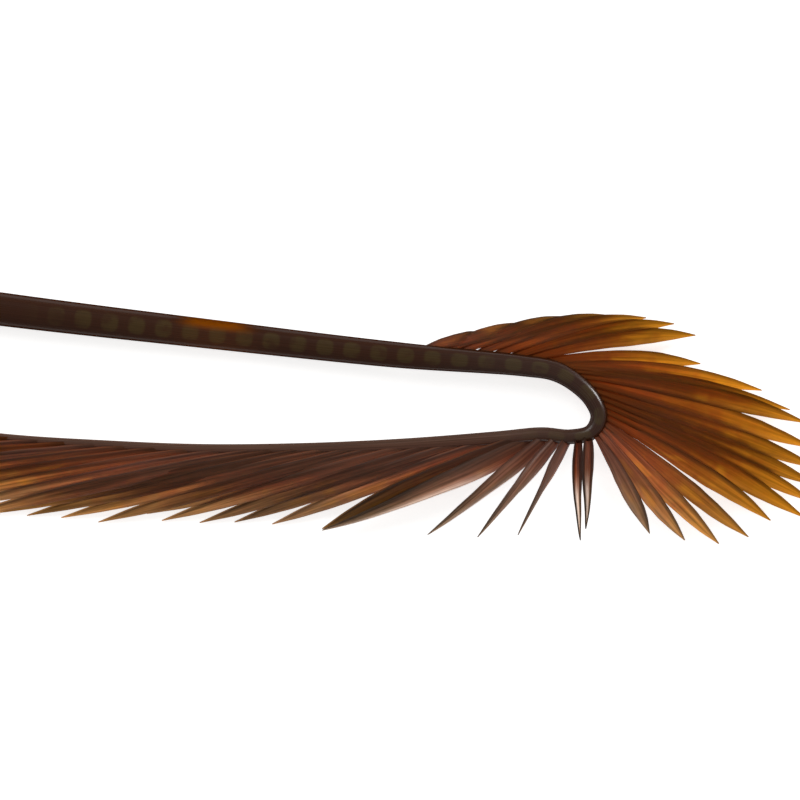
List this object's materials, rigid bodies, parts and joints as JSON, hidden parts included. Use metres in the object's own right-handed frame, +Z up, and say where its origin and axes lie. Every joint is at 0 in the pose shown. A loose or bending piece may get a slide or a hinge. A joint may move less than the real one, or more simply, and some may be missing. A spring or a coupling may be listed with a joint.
{
  "type": "goose biot feather",
  "caption": "Dyed brown goose feather: a quill bent into a hook, with stiff pointed biots along its outer side.",
  "frame": {"origin": "centre of the feather's bounding box, on the surface that it lies on", "axes": "+X from the cut quill towards the hook, +Z up from the surface, through the feather's thin direction"},
  "size_m": [0.1726, 0.041, 0.019],
  "materials": {
    "dyed_keratin": "satin horn-like keratin, dyed brown, amber where light passes through the thin biots"
  },
  "bodies": {
    "root": {"feather": "dyed_keratin"}
  },
  "joints": []
}
